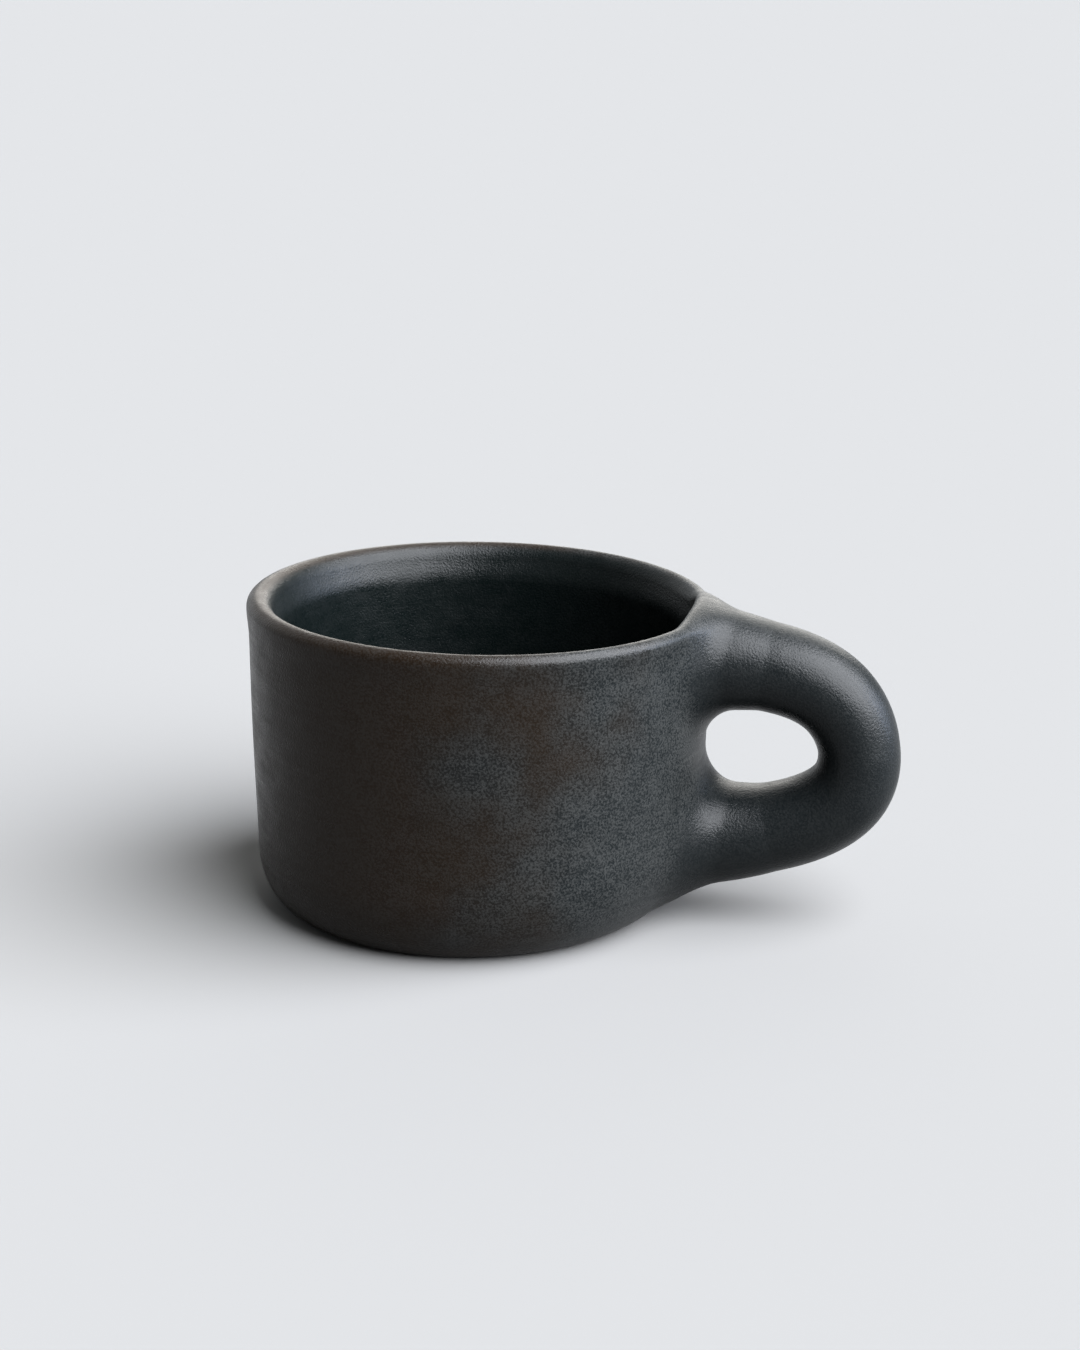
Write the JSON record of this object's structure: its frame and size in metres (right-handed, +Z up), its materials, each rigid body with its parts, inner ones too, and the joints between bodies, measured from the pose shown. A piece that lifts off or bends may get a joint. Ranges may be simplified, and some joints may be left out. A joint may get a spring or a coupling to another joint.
{
  "type": "mug",
  "caption": "Squat hand-built ceramic mug with a straight-sided round cup, rounded foot and lip, and one thick round loop handle.",
  "frame": {"origin": "centre of the flat resting face under the foot, on the cup's axis", "axes": "+Z up along the cup's axis towards the mouth, +X from the cup's axis towards the handle, +Y completes a right-handed frame"},
  "size_m": [0.1328, 0.0948, 0.0636],
  "materials": {
    "burnished_clay": "satin, burnished and smoke-blackened"
  },
  "bodies": {
    "root": {"base_slab": "burnished_clay", "cup_wall": "burnished_clay", "rim_coil": "burnished_clay", "floor_seam_coil": "burnished_clay", "handle_loop": "burnished_clay", "upper_handle_blend": "burnished_clay", "lower_handle_blend": "burnished_clay"}
  },
  "joints": []
}
